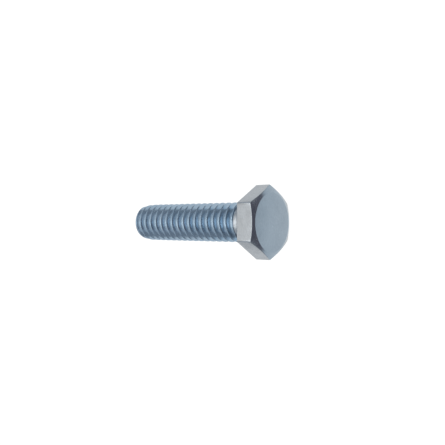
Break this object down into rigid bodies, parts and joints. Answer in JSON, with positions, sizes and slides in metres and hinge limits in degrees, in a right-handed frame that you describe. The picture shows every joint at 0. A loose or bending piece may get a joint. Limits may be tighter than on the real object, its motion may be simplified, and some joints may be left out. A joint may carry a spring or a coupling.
{
  "type": "hexagon head bolt",
  "caption": "Fully threaded bolt with a low chamfered hexagon head, a short plain neck and a tapered point.",
  "frame": {"origin": "centre of the bearing face under the head, on the bolt's axis", "axes": "+X along the bolt's axis from the point to the head, +Z square to two of the hexagon's flats, so the bolt lies on a flat"},
  "size_m": [0.0275, 0.0114, 0.01],
  "materials": {
    "zinc_plated_head": "blue-white zinc plating, satin, as forged",
    "zinc_plated_shank": "blue-white zinc plating, bright, as rolled"
  },
  "bodies": {
    "root": {"hex_head": "zinc_plated_head", "neck": "zinc_plated_shank", "thread": "zinc_plated_shank", "point": "zinc_plated_shank"}
  },
  "joints": []
}
